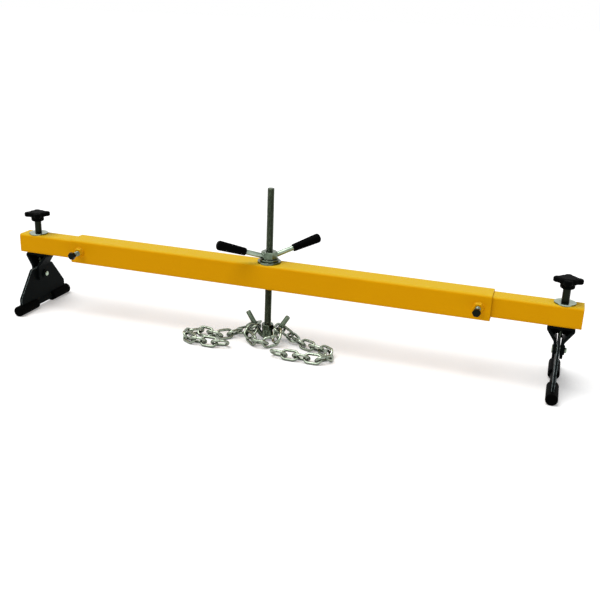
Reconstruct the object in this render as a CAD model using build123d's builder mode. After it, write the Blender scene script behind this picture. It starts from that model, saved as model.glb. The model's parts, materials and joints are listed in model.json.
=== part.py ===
"""Engine support bar: a telescoping beam on two clamped feet, with a lift screw, hook and chain.

Millimetres, Z up, X along the beam. The origin is on the floor, midway between the two arm ends.
"""

import os
from math import cos, radians, sin, tan

from build123d import *

os.makedirs("parts", exist_ok=True)

# Square tubes of the beam
tube_side = 50.0
tube_wall = 3.0
tube_corner = 5.0
tube_length = 870.0
arm_side = 40.0
arm_wall = 3.0
arm_corner = 4.5
arm_length = 400.0
left_extension = 127.7
right_extension = 158.2

# Lock bolts on the front of the beam
lock_inset = 22.0
lock_diameter = 10.0
lock_pitch = 1.5
lock_turns = 21
lock_head_flats = 14.0
lock_head_height = 6.4
lock_nut_flats = 17.0
lock_nut_height = 8.0

# Lift screw and the nut that drives it
screw_diameter = 14.0
screw_pitch = 2.0
screw_turns = 150
screw_foot_z = 12.0
thrust_diameter = 46.0
thrust_thickness = 4.0
nut_flange_diameter = 37.0
nut_flange_height = 4.0
nut_flats = 28.0
nut_height = 15.0

# Handle rods on the lift nut, and their grips
handle_diameter = 10.0
handle_azimuth = 41.2
handle_rise = 17.3
handle_cross = 6.0
handle_reach = 109.0
grip_start = 52.0
grip_end = 112.5
grip_inner_diameter = 15.0
grip_outer_diameter = 19.5
grip_end_round = 6.0
grip_lip_round = 1.5

# Double hook and its jam nut
hook_bar = 10.0
hook_bend = 22.0
hook_half_angle = 32.0
hook_floor = 1.5
hook_tip_z = 56.0
hook_tip_chamfer = 1.0
boss_diameter = 22.0
boss_foot_z = 8.0
boss_top_z = 24.0
jam_flats = 22.0
jam_height = 11.0

# Chain, slack on the floor: places are measured from the lift screw's axis, X outward
wire_diameter = 5.5
link_inner_length = 27.0
link_inner_width = 13.0
link_step = 23.0
link_roll = 45.0
prong_link_z = 28.5
prong_link_half = 11.2
prong_link_shift = -0.4
bight_drop = (4.0, -18.2, -13.4)
bight_half = 12.1
bight_fall = (-13.9, -4.1)
bight_rolls = (-35.7, 76.8, -34.8)
lead_shift = (0.2, -0.4, -3.2)
lead_drop = (18.1, 4.1, -13.5)
lead_rolls = (65.0, -10.4)
lead_links = 3
back_links = 5
run_bend = 22.0
turn_bend = 21.0
end_bend = 10.0
left_route = [(60.8, -1.3), (87.2, -41.3), (154.7, -20.9), (147.6, -78.7), (70.7, -77.0), (48.0, -62.0)]
right_route = [(60.8, -1.3), (87.8, -18.4), (141.2, -32.0), (154.2, -78.5), (56.6, -78.6), (26.0, -74.0)]

# Clamp of each foot, from the knob down to the stud's end
washer_diameter = 38.5
washer_thickness = 2.5
sleeve_diameter = 14.0
sleeve_height = 25.3
stud_diameter = 8.0
stud_pitch = 1.25
stud_turns = 24
stud_foot_z = 95.0
stud_in_knob = 14.0
knob_hub_diameter = 26.0
knob_core_diameter = 38.0
knob_lobe_diameter = 15.0
knob_lobe_offset = 18.5
knob_lobes = 4
knob_hub_height = 10.0
knob_lobe_height = 9.5
knob_crown_height = 0.8
knob_crown_taper = 50.0
knob_hollow = 5.0
knob_round = 3.0
left_knob_angle = 36.0
right_knob_angle = 0.0

# Hanger bracket, folded from sheet, and the nut welded inside it
sheet = 5.0
bracket_half_top = 30.3
bracket_bend = 6.0
bracket_top_half_depth = 14.0
cheek_half_depth = 20.0
cheek_above_pivot = 20.0
cheek_below_pivot = 13.0
cheek_round = 9.0
web_above_pivot = 27.0
bracket_drop = 48.8
bracket_nut_flats = 13.0
bracket_nut_height = 6.5

# Pivot pin, its retaining ring and spacers
pin_diameter = 10.0
pin_head_diameter = 16.0
pin_head_height = 2.0
pin_end = 3.5
pin_chamfer = 1.0
ring_diameter = 18.0
ring_thickness = 2.5
spacer_diameter = 18.0
spacer_thickness = 1.5

# Foot plate, foot bar and rubber pads
plate_thickness = 5.0
plate_above_pivot = 17.0
plate_top_half = 36.0
plate_bottom_half = 78.0
plate_shoulder = 18.0
plate_round = 8.0
pivot_rise = 61.6
bar_diameter = 12.0
pad_diameter = 22.0
pad_flat = 0.6
pad_inner = 26.0
pad_outer = 90.0
pad_end_wall = 3.0
pad_round = 3.0

# Clearances
slide_gap = 0.1
seat_gap = 0.1
tip_gap = 0.1
thread_gap = 0.05
pivot_gap = 0.05
loose_gap = 0.5
inside_gap = 0.05
slot_gap = 0.1
floor_gap = 0.05

# Details of hexagons and threads
hex_sides = 6
hex_corner_angle = 30.0
thread_depth = 0.6

# Heights, built up from the floor
bar_z = pad_diameter / 2 - pad_flat
pivot_z = bar_z + pivot_rise
bracket_top_z = pivot_z + bracket_drop
arm_z = bracket_top_z + seat_gap + arm_side / 2
arm_top_z = arm_z + arm_side / 2
tube_bore = tube_side - 2 * tube_wall
arm_lift = tube_bore / 2 - slide_gap - arm_side / 2
beam_z = arm_z - arm_lift
beam_top_z = beam_z + tube_side / 2

# Places along the beam: the lift screw stands at the middle of the outer tube
lift_x = (left_extension - right_extension) / 2
foot_inset = 33.5


def save(piece, name):
    """Label a finished piece and write it."""
    piece.label = name
    export_step(piece, f"parts/{name}.step")


def hex_blank(base, flats, height):
    """A hexagonal prism that stands on a plane, its corners turned off at both ends."""
    flat_radius = flats / 2
    corner_radius = flat_radius / cos(radians(180 / hex_sides))
    drop = (corner_radius - flat_radius) * tan(radians(hex_corner_angle))
    with BuildPart() as blank:
        with BuildSketch(base):
            RegularPolygon(flat_radius, hex_sides, major_radius=False)
        extrude(amount=height)
        with BuildSketch(Plane(base.origin, x_dir=base.x_dir, z_dir=-base.y_dir)):
            with BuildLine():
                Polyline(
                    (0, 0),
                    (flat_radius, 0),
                    (corner_radius, drop),
                    (corner_radius, height - drop),
                    (flat_radius, height),
                    (0, height),
                    close=True,
                )
            make_face()
        revolve(axis=Axis(base.origin, base.z_dir), mode=Mode.INTERSECT)
    return blank.part


def threaded_rod(base, diameter, pitch, turns, plain=0.0):
    """A rod that stands on a plane: one ridge for each turn of thread, then a plain length."""
    crest = diameter / 2
    root = crest - thread_depth * pitch
    outline = [(0, 0), (root, 0)]
    for turn in range(turns):
        outline.append((crest, (turn + 1 / 2) * pitch))
        outline.append((root, (turn + 1) * pitch))
    if plain > 0:
        outline.append((crest, turns * pitch + crest - root))
        outline.append((crest, turns * pitch + plain))
    outline.append((0, turns * pitch + plain))
    with BuildPart() as rod:
        with BuildSketch(Plane(base.origin, x_dir=base.x_dir, z_dir=-base.y_dir)):
            with BuildLine():
                Polyline(*outline, close=True)
            make_face()
        revolve(axis=Axis(base.origin, base.z_dir))
    return rod.part


def chain_link(start, end, roll):
    """One link of round wire, its length along two joints of the chain, rolled about that line."""
    along = (end - start).normalized()
    upward = (Vector(0, 0, 1) - along * along.Z).normalized()
    normal = upward * cos(radians(roll)) + along.cross(upward) * sin(radians(roll))
    turn = (link_inner_width + wire_diameter) / 2
    straight = (link_inner_length + wire_diameter) / 2 - turn
    with BuildPart() as link:
        with BuildLine(Plane((start + end) / 2, x_dir=along, z_dir=normal)) as loop:
            Line((-straight, turn), (straight, turn))
            ThreePointArc((straight, turn), (straight + turn, 0), (straight, -turn))
            Line((straight, -turn), (-straight, -turn))
            ThreePointArc((-straight, -turn), (-straight - turn, 0), (-straight, turn))
        with BuildSketch(Plane(loop.line @ 0, z_dir=loop.line % 0)):
            Circle(wire_diameter / 2)
        sweep()
    return link.part


# Outer tube, with holes for the lift screw and the lock bolts
with BuildPart() as beam_tube:
    with BuildSketch(Plane((lift_x - tube_length / 2, 0, beam_z), x_dir=(0, 1, 0), z_dir=(1, 0, 0))):
        RectangleRounded(tube_side, tube_side, tube_corner)
        RectangleRounded(tube_bore, tube_bore, tube_corner - tube_wall, mode=Mode.SUBTRACT)
    extrude(amount=tube_length)
    with BuildSketch(Plane((lift_x, 0, beam_z - tube_side / 2))):
        Circle(screw_diameter / 2 + loose_gap)
    extrude(amount=tube_side, mode=Mode.SUBTRACT)
    with BuildSketch(Plane((lift_x, -tube_bore / 2, beam_z), x_dir=(1, 0, 0), z_dir=(0, -1, 0))):
        with GridLocations(tube_length - 2 * lock_inset, 0, 2, 1):
            Circle(lock_diameter / 2 + loose_gap)
    extrude(amount=tube_wall, mode=Mode.SUBTRACT)
save(beam_tube.part, "beam_tube")

# Thrust washer on top of the beam
with BuildPart() as thrust_washer:
    with BuildSketch(Plane((lift_x, 0, beam_top_z))):
        Circle(thrust_diameter / 2)
        Circle(screw_diameter / 2 + loose_gap, mode=Mode.SUBTRACT)
    extrude(amount=thrust_thickness)
save(thrust_washer.part, "thrust_washer")

# Lift nut: a hexagon on a round flange, with flats square to the handle rods
nut_foot_z = beam_top_z + thrust_thickness + seat_gap
nut_flange_top_z = nut_foot_z + nut_flange_height
nut_top_z = nut_flange_top_z + nut_height
corner_azimuth = radians(handle_azimuth + 180 / hex_sides)
nut_base = Plane(
    (lift_x, 0, nut_flange_top_z), x_dir=(cos(corner_azimuth), sin(corner_azimuth), 0), z_dir=(0, 0, 1)
)
nut_hexagon = hex_blank(nut_base, nut_flats, nut_height)
with BuildPart() as lift_nut:
    add(nut_hexagon)
    with BuildSketch(Plane((lift_x, 0, nut_foot_z))):
        Circle(nut_flange_diameter / 2)
    extrude(amount=nut_flange_height)
    with BuildSketch(Plane((lift_x, 0, nut_foot_z))):
        Circle(screw_diameter / 2 + thread_gap)
    extrude(amount=nut_top_z - nut_foot_z, mode=Mode.SUBTRACT)
save(lift_nut.part, "lift_nut")

# Handle rods, cut flush with the flats of the nut, and a blind grip on each
handle_root = Vector(lift_x, 0, nut_foot_z + handle_cross)
for side, azimuth in (("left", handle_azimuth + 180), ("right", handle_azimuth)):
    outward = Vector(cos(radians(azimuth)), sin(radians(azimuth)), 0)
    lean = outward * cos(radians(handle_rise)) + Vector(0, 0, sin(radians(handle_rise)))
    with BuildPart() as handle_rod:
        with BuildSketch(Plane(handle_root, z_dir=lean)):
            Circle(handle_diameter / 2)
        extrude(amount=handle_reach)
        split(bisect_by=Plane(handle_root + outward * (nut_flats / 2), z_dir=outward), keep=Keep.TOP)
    save(handle_rod.part, f"{side}_handle_rod")

    with BuildPart() as grip:
        with BuildSketch(Plane(handle_root + lean * grip_start, z_dir=lean)):
            Circle(grip_inner_diameter / 2)
        with BuildSketch(Plane(handle_root + lean * grip_end, z_dir=lean)):
            Circle(grip_outer_diameter / 2)
        loft()
        rims = grip.edges().filter_by(GeomType.CIRCLE).sort_by_distance(handle_root)
        fillet(rims[-1], grip_end_round)
        fillet(rims[0], grip_lip_round)
        with BuildSketch(Plane(handle_root + lean * grip_start, z_dir=lean)):
            Circle(handle_diameter / 2 + inside_gap)
        extrude(amount=handle_reach - grip_start + inside_gap, mode=Mode.SUBTRACT)
    save(grip.part, f"{side}_grip")

# Lift screw
screw_foot = Plane((lift_x, 0, screw_foot_z))
lift_screw = threaded_rod(screw_foot, screw_diameter, screw_pitch, screw_turns)
save(lift_screw, "lift_screw")

# Double hook: a round bar bent to a V, with a threaded boss on its bend
hook_apex_z = hook_floor + hook_bar / 2 + hook_bend - hook_bend / sin(radians(hook_half_angle))
hook_slope = tan(radians(hook_half_angle))
hook_tip_x = (hook_tip_z - hook_apex_z) * hook_slope
with BuildPart() as double_hook:
    with BuildLine(Plane((lift_x, 0, 0), x_dir=(1, 0, 0), z_dir=(0, -1, 0))) as hook_spine:
        FilletPolyline(
            (-hook_tip_x, hook_tip_z), (0, hook_apex_z), (hook_tip_x, hook_tip_z), radius=hook_bend
        )
    with BuildSketch(Plane(hook_spine.line @ 0, z_dir=hook_spine.line % 0)):
        Circle(hook_bar / 2)
    sweep()
    chamfer(double_hook.faces().filter_by(GeomType.PLANE).edges(), hook_tip_chamfer)
    with BuildSketch(Plane((lift_x, 0, boss_foot_z))):
        Circle(boss_diameter / 2)
    extrude(amount=boss_top_z - boss_foot_z)
    with BuildSketch(Plane((lift_x, 0, screw_foot_z))):
        Circle(screw_diameter / 2 + thread_gap)
    extrude(amount=boss_top_z - screw_foot_z, mode=Mode.SUBTRACT)
save(double_hook.part, "double_hook")

# Jam nut on top of the hook's boss
jam_hexagon = hex_blank(Plane((lift_x, 0, boss_top_z)), jam_flats, jam_height)
with BuildPart() as jam_nut:
    add(jam_hexagon)
    with BuildSketch(Plane((lift_x, 0, boss_top_z))):
        Circle(screw_diameter / 2 + thread_gap)
    extrude(amount=jam_height, mode=Mode.SUBTRACT)
save(jam_nut.part, "jam_nut")

# Chain joints: a link round each prong, slack links in front, and a tail out to each side
lay_z = (link_inner_width + wire_diameter) / 2 * sin(radians(link_roll)) + wire_diameter / 2 + floor_gap
prong_x = (prong_link_z - hook_apex_z) * hook_slope
prong_back = (prong_x, prong_link_shift + prong_link_half, prong_link_z)
prong_front = (prong_x, prong_link_shift - prong_link_half, prong_link_z)
bight_near = tuple(place + step for place, step in zip(prong_front, bight_drop))
bight_far = (bight_half, bight_near[1] + bight_fall[0], bight_near[2] + bight_fall[1])
lead_start = tuple(place + step for place, step in zip(prong_back, lead_shift))
lead_joint = tuple(place + step for place, step in zip(lead_start, lead_drop))
half_bight = [prong_back, prong_front, bight_near, bight_far]
bight = [Vector(lift_x - x, y, z) for x, y, z in half_bight]
bight += [Vector(lift_x + x, y, z) for x, y, z in reversed(half_bight)]
half_rolls = [hook_half_angle, *bight_rolls]
rolls = half_rolls + half_rolls[-2::-1]
bight_names = ["left_prong_link"] + [f"bight_link_{count}" for count in range(1, 6)] + ["right_prong_link"]
for count, name in enumerate(bight_names):
    save(chain_link(bight[count], bight[count + 1], rolls[count]), name)

for side, way, route in (("left", -1, left_route), ("right", 1, right_route)):
    with BuildLine() as tail:
        FilletPolyline(
            *[(lift_x + way * x, y, lay_z) for x, y in route],
            radius=[run_bend, turn_bend, turn_bend, end_bend],
        )
    path = tail.wire()
    floor_links = int(path.length // link_step)
    joints = [Vector(lift_x + way * x, y, z) for x, y, z in (lead_start, lead_joint)]
    joints += [path.position_at(count * link_step, PositionMode.LENGTH) for count in range(floor_links + 1)]
    rolls = list(lead_rolls)
    rolls += [link_roll if count % 2 == 0 else -link_roll for count in range(floor_links)]
    links = [
        chain_link(joints[count], joints[count + 1], -way * roll) for count, roll in enumerate(rolls)
    ]
    turn_link = lead_links + back_links
    for name, group in (
        ("chain_lead", links[:lead_links]),
        ("chain_back_run", links[lead_links:turn_link]),
        ("chain_front_run", links[turn_link:-1]),
        ("chain_end_link", links[-1:]),
    ):
        with BuildPart() as chain_run:
            add(group)
        save(chain_run.part, f"{side}_{name}")

# What is on each side: the arm, its lock bolt, and the foot with its clamp
knob_foot_z = arm_top_z + seat_gap + washer_thickness + sleeve_height + seat_gap
cheek_inner = plate_thickness / 2 + slot_gap + spacer_thickness
cheek_outer = cheek_inner + sheet
cheek_top_z = pivot_z + cheek_above_pivot
cheek_foot_z = pivot_z - cheek_below_pivot
web_foot_z = pivot_z + web_above_pivot
plate_foot_z = bar_z + bar_diameter / 2

for side, way, extension, knob_angle in (
    ("left", -1, left_extension, left_knob_angle),
    ("right", 1, right_extension, right_knob_angle),
):
    arm_end_x = lift_x + way * (tube_length / 2 + extension)
    foot_x = arm_end_x - way * foot_inset
    lock_x = lift_x + way * (tube_length / 2 - lock_inset)

    # Arm tube, raised in the bore so that the beam rests on it
    arm_start_x = min(arm_end_x, arm_end_x - way * arm_length)
    with BuildPart() as arm:
        with BuildSketch(Plane((arm_start_x, 0, arm_z), x_dir=(0, 1, 0), z_dir=(1, 0, 0))):
            RectangleRounded(arm_side, arm_side, arm_corner)
            arm_bore = arm_side - 2 * arm_wall
            RectangleRounded(arm_bore, arm_bore, arm_corner - arm_wall, mode=Mode.SUBTRACT)
        extrude(amount=arm_length)
        with BuildSketch(Plane((foot_x, 0, arm_z - arm_side / 2))):
            Circle(stud_diameter / 2 + loose_gap)
        extrude(amount=arm_side, mode=Mode.SUBTRACT)
    save(arm.part, f"{side}_arm")

    # Lock nut on the face of the beam, and the bolt through it
    lock_face = Plane((lock_x, -tube_side / 2, beam_z), x_dir=(1, 0, 0), z_dir=(0, -1, 0))
    lock_hexagon = hex_blank(lock_face, lock_nut_flats, lock_nut_height)
    with BuildPart() as lock_nut:
        add(lock_hexagon)
        with BuildSketch(lock_face):
            Circle(lock_diameter / 2 + thread_gap)
        extrude(amount=lock_nut_height, mode=Mode.SUBTRACT)
    save(lock_nut.part, f"{side}_lock_nut")

    lock_tip = Plane((lock_x, -arm_side / 2 - tip_gap, beam_z), x_dir=(1, 0, 0), z_dir=(0, -1, 0))
    lock_shank = threaded_rod(lock_tip, lock_diameter, lock_pitch, lock_turns)
    lock_head = hex_blank(lock_tip.offset(lock_turns * lock_pitch), lock_head_flats, lock_head_height)
    with BuildPart() as lock_bolt:
        add(lock_head)
        add(lock_shank)
    save(lock_bolt.part, f"{side}_lock_bolt")

    # Washer and spacer sleeve on the arm
    with BuildPart() as clamp_washer:
        with BuildSketch(Plane((foot_x, 0, arm_top_z + seat_gap))):
            Circle(washer_diameter / 2)
            Circle(stud_diameter / 2 + loose_gap, mode=Mode.SUBTRACT)
        extrude(amount=washer_thickness)
    save(clamp_washer.part, f"{side}_clamp_washer")

    with BuildPart() as clamp_sleeve:
        with BuildSketch(Plane((foot_x, 0, arm_top_z + seat_gap + washer_thickness))):
            Circle(sleeve_diameter / 2)
            Circle(stud_diameter / 2 + loose_gap, mode=Mode.SUBTRACT)
        extrude(amount=sleeve_height)
    save(clamp_sleeve.part, f"{side}_clamp_sleeve")

    # Clamp stud, threaded where the bracket nut runs on it
    stud_foot = Plane((foot_x, 0, stud_foot_z))
    stud_plain = knob_foot_z + stud_in_knob - stud_foot_z - stud_turns * stud_pitch
    clamp_stud = threaded_rod(stud_foot, stud_diameter, stud_pitch, stud_turns, stud_plain)
    save(clamp_stud, f"{side}_clamp_stud")

    # Star knob: round hub, lobed grip and a low crown
    turned = (cos(radians(knob_angle)), sin(radians(knob_angle)), 0)
    with BuildPart() as knob:
        with BuildSketch(Plane((foot_x, 0, knob_foot_z + knob_hub_height), x_dir=turned, z_dir=(0, 0, 1))):
            Circle(knob_core_diameter / 2)
            with PolarLocations(knob_lobe_offset, knob_lobes):
                Circle(knob_lobe_diameter / 2)
        extrude(amount=knob_lobe_height)
        valleys = knob.edges().filter_by(Axis.Z)
        fillet(valleys, knob_hollow)
        fillet(knob.faces().filter_by(Axis.Z).edges(), knob_round)
        with BuildSketch(Plane((foot_x, 0, knob_foot_z))):
            Circle(knob_hub_diameter / 2)
        extrude(amount=knob_hub_height)
        fillet(knob.faces().sort_by(Axis.Z)[0].edges(), knob_round)
        with BuildSketch(Plane((foot_x, 0, knob_foot_z + knob_hub_height + knob_lobe_height))):
            Circle(knob_core_diameter / 2 - knob_round)
        extrude(amount=knob_crown_height, taper=knob_crown_taper)
        with BuildSketch(Plane((foot_x, 0, knob_foot_z))):
            Circle(stud_diameter / 2 + inside_gap)
        extrude(amount=stud_in_knob + inside_gap, mode=Mode.SUBTRACT)
    save(knob.part, f"{side}_knob")

    # Hanger bracket: flat top, sides that close in, two cheeks for the pivot pin, and a web at the rear
    fold_corners = [
        (-cheek_outer, cheek_foot_z),
        (-cheek_outer, cheek_top_z),
        (-bracket_half_top, bracket_top_z),
        (bracket_half_top, bracket_top_z),
        (cheek_outer, cheek_top_z),
        (cheek_outer, cheek_foot_z),
    ]
    with BuildPart() as bracket:
        with BuildSketch(Plane((foot_x, 0, 0), x_dir=(1, 0, 0), z_dir=(0, -1, 0))):
            with BuildLine():
                FilletPolyline(*fold_corners, radius=bracket_bend)
                offset(amount=-sheet, side=Side.RIGHT, closed=True)
            make_face()
        extrude(amount=cheek_half_depth, both=True)
        with BuildSketch(Plane((foot_x, 0, 0), x_dir=(0, 1, 0), z_dir=(1, 0, 0))):
            with BuildLine():
                FilletPolyline(
                    (-bracket_top_half_depth, bracket_top_z),
                    (-cheek_half_depth, cheek_top_z),
                    (-cheek_half_depth, cheek_foot_z),
                    (cheek_half_depth, cheek_foot_z),
                    (cheek_half_depth, cheek_top_z),
                    (bracket_top_half_depth, bracket_top_z),
                    radius=cheek_round,
                )
                Line((bracket_top_half_depth, bracket_top_z), (-bracket_top_half_depth, bracket_top_z))
            make_face()
        extrude(amount=bracket_half_top, both=True, mode=Mode.INTERSECT)
        with BuildSketch(Plane((foot_x, bracket_top_half_depth, 0), x_dir=(1, 0, 0), z_dir=(0, -1, 0))):
            with BuildLine():
                FilletPolyline(*fold_corners, radius=bracket_bend)
                Line(fold_corners[-1], fold_corners[0])
            make_face()
            with Locations((0, (web_foot_z + bracket_top_z) / 2)):
                Rectangle(2 * bracket_half_top, bracket_top_z - web_foot_z, mode=Mode.INTERSECT)
        extrude(amount=sheet)
        with BuildSketch(Plane((foot_x, 0, bracket_top_z - sheet))):
            Circle(stud_diameter / 2 + loose_gap)
        extrude(amount=sheet, mode=Mode.SUBTRACT)
        with BuildSketch(Plane((foot_x, 0, pivot_z), x_dir=(0, 1, 0), z_dir=(1, 0, 0))):
            Circle(pin_diameter / 2 + inside_gap)
        extrude(amount=cheek_outer, both=True, mode=Mode.SUBTRACT)
    save(bracket.part, f"{side}_bracket")

    nut_seat = Plane((foot_x, 0, bracket_top_z - sheet - bracket_nut_height))
    bracket_hexagon = hex_blank(nut_seat, bracket_nut_flats, bracket_nut_height)
    with BuildPart() as bracket_nut:
        add(bracket_hexagon)
        with BuildSketch(nut_seat):
            Circle(stud_diameter / 2 + thread_gap)
        extrude(amount=bracket_nut_height, mode=Mode.SUBTRACT)
    save(bracket_nut.part, f"{side}_bracket_nut")

    # Pivot pin through the cheeks, with its ring and a spacer each side of the foot plate
    with BuildPart() as pivot_pin:
        pin_start = Plane((foot_x - cheek_outer, 0, pivot_z), x_dir=(0, 1, 0), z_dir=(1, 0, 0))
        with BuildSketch(pin_start):
            Circle(pin_diameter / 2)
        extrude(amount=2 * cheek_outer + ring_thickness + pin_end)
        chamfer(pivot_pin.edges().sort_by(Axis.X)[-1], pin_chamfer)
        with BuildSketch(pin_start):
            Circle(pin_head_diameter / 2)
        extrude(amount=-pin_head_height)
        chamfer(pivot_pin.edges().sort_by(Axis.X)[0], pin_chamfer)
    save(pivot_pin.part, f"{side}_pivot_pin")

    with BuildPart() as pin_ring:
        with BuildSketch(Plane((foot_x + cheek_outer, 0, pivot_z), x_dir=(0, 1, 0), z_dir=(1, 0, 0))):
            Circle(ring_diameter / 2)
            Circle(pin_diameter / 2 + inside_gap, mode=Mode.SUBTRACT)
        extrude(amount=ring_thickness)
    save(pin_ring.part, f"{side}_pin_ring")

    with BuildPart() as pivot_spacers:
        for edge_x in (foot_x - cheek_inner, foot_x + cheek_inner - spacer_thickness):
            with BuildSketch(Plane((edge_x, 0, pivot_z), x_dir=(0, 1, 0), z_dir=(1, 0, 0))):
                Circle(spacer_diameter / 2)
                Circle(pin_diameter / 2 + inside_gap, mode=Mode.SUBTRACT)
            extrude(amount=spacer_thickness)
    save(pivot_spacers.part, f"{side}_pivot_spacers")

    # Foot plate, and the round bar along its lower edge
    plate_top_z = pivot_z + plate_above_pivot
    shoulder_z = plate_foot_z + plate_shoulder
    with BuildPart() as foot_plate:
        with BuildSketch(Plane((foot_x, 0, 0), x_dir=(0, 1, 0), z_dir=(1, 0, 0))):
            with BuildLine():
                FilletPolyline(
                    (-plate_bottom_half, plate_foot_z),
                    (-plate_bottom_half, shoulder_z),
                    (-plate_top_half, plate_top_z),
                    (plate_top_half, plate_top_z),
                    (plate_bottom_half, shoulder_z),
                    (plate_bottom_half, plate_foot_z),
                    radius=plate_round,
                )
                Line((plate_bottom_half, plate_foot_z), (-plate_bottom_half, plate_foot_z))
            make_face()
            with Locations((0, pivot_z)):
                Circle(pin_diameter / 2 + pivot_gap, mode=Mode.SUBTRACT)
        extrude(amount=plate_thickness / 2, both=True)
    save(foot_plate.part, f"{side}_foot_plate")

    bar_half = pad_outer - pad_end_wall - inside_gap
    with BuildPart() as foot_bar:
        with BuildSketch(Plane((foot_x, 0, bar_z), x_dir=(1, 0, 0), z_dir=(0, -1, 0))):
            Circle(bar_diameter / 2)
        extrude(amount=bar_half, both=True)
    save(foot_bar.part, f"{side}_foot_bar")

    # Rubber pads: blind sleeves on the bar, slotted for the plate, with a flat underneath
    for place, facing in (("front", -1), ("rear", 1)):
        pad_start = Plane((foot_x, facing * pad_inner, bar_z), x_dir=(1, 0, 0), z_dir=(0, facing, 0))
        with BuildPart() as pad:
            with BuildSketch(pad_start):
                Circle(pad_diameter / 2)
            extrude(amount=pad_outer - pad_inner)
            fillet(pad.edges().filter_by(GeomType.CIRCLE), pad_round)
            with BuildSketch(pad_start):
                Circle(bar_diameter / 2 + inside_gap)
            extrude(amount=pad_outer - pad_end_wall - pad_inner, mode=Mode.SUBTRACT)
            slot_run = plate_bottom_half + slot_gap - pad_inner
            slot_middle = facing * (pad_inner + slot_run / 2)
            with BuildSketch(Plane((foot_x, slot_middle, bar_z))):
                Rectangle(plate_thickness + 2 * slot_gap, slot_run)
            extrude(amount=pad_diameter, mode=Mode.SUBTRACT)
            split(bisect_by=Plane.XY, keep=Keep.TOP)
        save(pad.part, f"{side}_{place}_pad")
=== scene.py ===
"""Looks of the engine support bar.

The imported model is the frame. Its solids keep their shapes and take painted, plated, moulded and rubber
finishes. Cut threads, bolt heads, sleeves, welded chain links and weld beads are surfaces of their own,
worked out from formulas. Lengths are in metres, Z is up and X runs along the beam.
"""

import json
import logging
import math
from dataclasses import dataclass, replace
from enum import Enum
from typing import ClassVar

import bmesh
import bpy
import numpy as np
from mathutils import Matrix, Vector

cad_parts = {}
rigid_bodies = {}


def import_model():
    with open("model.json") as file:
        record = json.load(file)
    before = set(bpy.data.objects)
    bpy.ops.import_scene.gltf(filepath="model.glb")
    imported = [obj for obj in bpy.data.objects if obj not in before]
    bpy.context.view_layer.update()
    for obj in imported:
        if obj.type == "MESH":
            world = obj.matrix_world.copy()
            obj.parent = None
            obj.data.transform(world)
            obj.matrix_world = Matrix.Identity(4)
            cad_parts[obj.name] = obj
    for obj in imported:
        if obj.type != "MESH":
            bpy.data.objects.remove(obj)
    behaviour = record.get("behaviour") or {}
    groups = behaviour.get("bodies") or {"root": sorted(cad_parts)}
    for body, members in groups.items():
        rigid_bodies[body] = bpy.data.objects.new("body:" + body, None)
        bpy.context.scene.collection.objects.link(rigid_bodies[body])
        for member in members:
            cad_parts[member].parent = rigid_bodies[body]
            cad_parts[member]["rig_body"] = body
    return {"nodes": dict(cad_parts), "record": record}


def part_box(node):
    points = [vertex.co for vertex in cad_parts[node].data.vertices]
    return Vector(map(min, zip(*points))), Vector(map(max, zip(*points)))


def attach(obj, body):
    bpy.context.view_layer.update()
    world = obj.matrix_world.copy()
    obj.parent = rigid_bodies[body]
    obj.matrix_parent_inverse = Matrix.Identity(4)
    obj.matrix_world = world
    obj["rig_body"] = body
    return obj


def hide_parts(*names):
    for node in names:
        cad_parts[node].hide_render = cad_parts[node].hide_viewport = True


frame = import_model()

Colour = tuple[float, float, float]
Range = tuple[float, float]
Socket = bpy.types.NodeSocket
Feed = Socket | float | tuple[float, ...]

LOG = logging.getLogger("support_bar")
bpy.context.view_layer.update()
TONE = "tone"
FULL_TURN = 2 * math.pi
WHITE: Colour = (1.0, 1.0, 1.0)
WHOLE: Range = (0.0, 1.0)
ALONG, REARWARD, UP = np.eye(3)
FORWARD = np.array([0.0, -1.0, 0.0])


class Slot(Enum):
    """The record's material slots."""

    YELLOW = "yellow_paint"
    BLACK = "black_paint"
    ZINC = "zinc"
    SCREW = "screw_steel"
    CHAIN = "chain_zinc"
    PLASTIC = "black_plastic"
    RUBBER = "rubber"


class Side(Enum):
    """The two ends of the beam."""

    LEFT = "left"
    RIGHT = "right"


@dataclass(frozen=True)
class Noise:
    """How a noise pattern is built up: its layers, how strong the finer ones are, and how it is warped."""

    detail: float
    roughness: float = 0.5
    distortion: float = 0.0


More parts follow.
